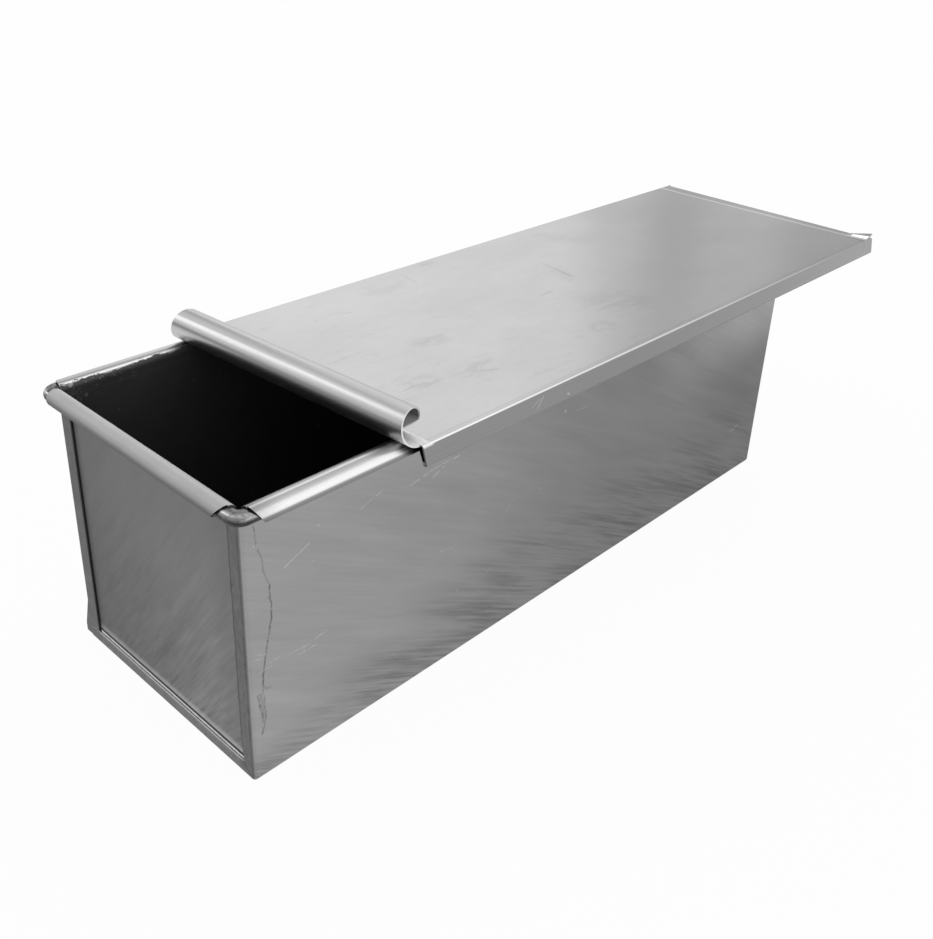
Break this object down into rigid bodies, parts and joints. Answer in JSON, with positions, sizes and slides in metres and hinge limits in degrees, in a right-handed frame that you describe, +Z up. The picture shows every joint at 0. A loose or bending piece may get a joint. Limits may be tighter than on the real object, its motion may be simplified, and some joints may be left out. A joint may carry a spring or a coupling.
{
  "type": "pullman loaf pan",
  "caption": "Long square-walled loaf pan of folded steel with a wire-stiffened rolled rim and a flat sliding lid that has a rolled grip",
  "frame": {"origin": "centre of the pan's flat underside", "axes": "+X along the pan, the way the lid is pulled; +Y across it; +Z up"},
  "size_m": [0.3731, 0.1186, 0.1159],
  "materials": {
    "trough_steel": "satin metallic sheet outside, dark non-stick coating inside",
    "plate_steel": "satin metallic sheet outside, dark non-stick coating inside",
    "wire_steel": "bare drawn wire",
    "lid_steel": "satin metallic sheet"
  },
  "bodies": {
    "pan": {"pan_trough": "trough_steel", "near_end_plate": "plate_steel", "far_end_plate": "plate_steel", "rim_wire": "wire_steel"},
    "lid": {"lid": "lid_steel"}
  },
  "joints": [
    {"name": "lid_slide", "type": "slide", "parent": "pan", "child": "lid", "axis": [1, 0, 0], "range_m": [-0.063, 0.26]}
  ]
}
